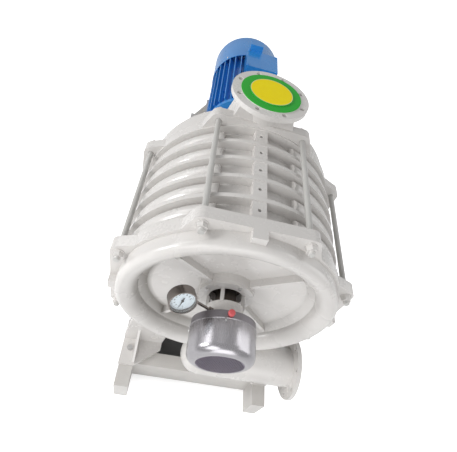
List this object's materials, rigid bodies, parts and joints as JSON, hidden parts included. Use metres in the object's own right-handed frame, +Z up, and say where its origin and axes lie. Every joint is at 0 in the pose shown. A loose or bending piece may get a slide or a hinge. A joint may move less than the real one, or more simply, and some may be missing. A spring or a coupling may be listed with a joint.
{
  "type": "multistage centrifugal blower",
  "caption": "Multistage cast centrifugal blower with tie-rod casing, top inlet flange, side outlet pipe and direct-coupled motor on a channel base.",
  "frame": {"origin": "centre of the rectangle of foundation holes, on the underside of the base rails", "axes": "+Z up, +Y along the shaft from the blower's non-drive end to the motor, +X towards the outlet flange"},
  "size_m": [1.026, 2.306, 1.537],
  "materials": {
    "casing_paint": "gloss",
    "frame_paint": "semi-gloss",
    "motor_paint": "gloss",
    "polished_steel": "polished",
    "plain_steel": "machined",
    "bearing_steel": "ground",
    "cast_aluminium": "cast",
    "cast_iron": "as cast",
    "bush_rubber": "matte",
    "gasket_green": "satin",
    "cover_yellow": "satin",
    "plug_red": "gloss",
    "dial_glass": "clear",
    "needle_black": "matte"
  },
  "bodies": {
    "stator": {"base_rail_left": "frame_paint", "base_rail_right": "frame_paint", "bearing_outer_rings": "bearing_steel", "coupling_guard": "frame_paint", "cross_beams": "frame_paint", "drive_bolts": "plain_steel", "fan_cover": "polished_steel", "foot_bolts": "plain_steel", "front_bearing_bracket": "casing_paint", "front_bearing_cap": "casing_paint", "front_head": "casing_paint", "gauge_case": "polished_steel", "gauge_glass": "dial_glass", "gauge_stem": "polished_steel", "grease_plug": "plug_red", "inlet_cover_plate": "cover_yellow", "inlet_gasket": "gasket_green", "inlet_plate": "casing_paint", "motor_bearings": "bearing_steel", "motor_box_lid": "motor_paint", "motor_end_shields": "motor_paint", "motor_fan_cowl": "motor_paint", "motor_frame": "motor_paint", "motor_stand": "frame_paint", "motor_stator": "cast_iron", "motor_terminal_box": "motor_paint", "rear_bearing_bracket": "casing_paint", "rear_bearing_cap": "casing_paint", "rear_head": "casing_paint", "return_channel_1": "casing_paint", "return_channel_2": "casing_paint", "return_channel_3": "casing_paint", "return_channel_4": "casing_paint", "stage_section_1": "casing_paint", "stage_section_2": "casing_paint", "stage_section_3": "casing_paint", "stage_section_4": "casing_paint", "stage_section_5": "casing_paint", "tie_rod_nuts": "casing_paint", "tie_rods": "casing_paint"},
    "rotor": {"shaft": "plain_steel", "impeller_1": "cast_aluminium", "impeller_2": "cast_aluminium", "impeller_3": "cast_aluminium", "impeller_4": "cast_aluminium", "impeller_5": "cast_aluminium", "shaft_sleeves": "plain_steel", "bearing_inner_rings": "bearing_steel", "cooling_fan": "cast_aluminium", "coupling_blower_half": "cast_iron", "coupling_bushes": "bush_rubber", "coupling_motor_half": "cast_iron", "coupling_pins": "plain_steel", "motor_rotor": "plain_steel", "motor_fan": "cast_aluminium"},
    "roller_sets": {"bearing_rollers": "bearing_steel"},
    "needle": {"gauge_needle": "needle_black"}
  },
  "joints": [
    {"name": "rotor_spin", "type": "hinge", "parent": "stator", "child": "rotor", "pos_m": [0, 0, 0.93], "axis": [0, 1, 0], "continuous": true},
    {"name": "roller_orbit", "type": "hinge", "parent": "stator", "child": "roller_sets", "pos_m": [0, 0, 0.93], "axis": [0, 1, 0], "continuous": true},
    {"name": "needle_swing", "type": "hinge", "parent": "stator", "child": "needle", "pos_m": [-0.20445, -0.924, 1.08406], "axis": [0.2543, -0.9063, 0.3375], "range_deg": [-242, 28]}
  ],
  "couplings": [
    {"joint": "roller_orbit", "follows": "rotor_spin", "ratio": 0.4108}
  ]
}
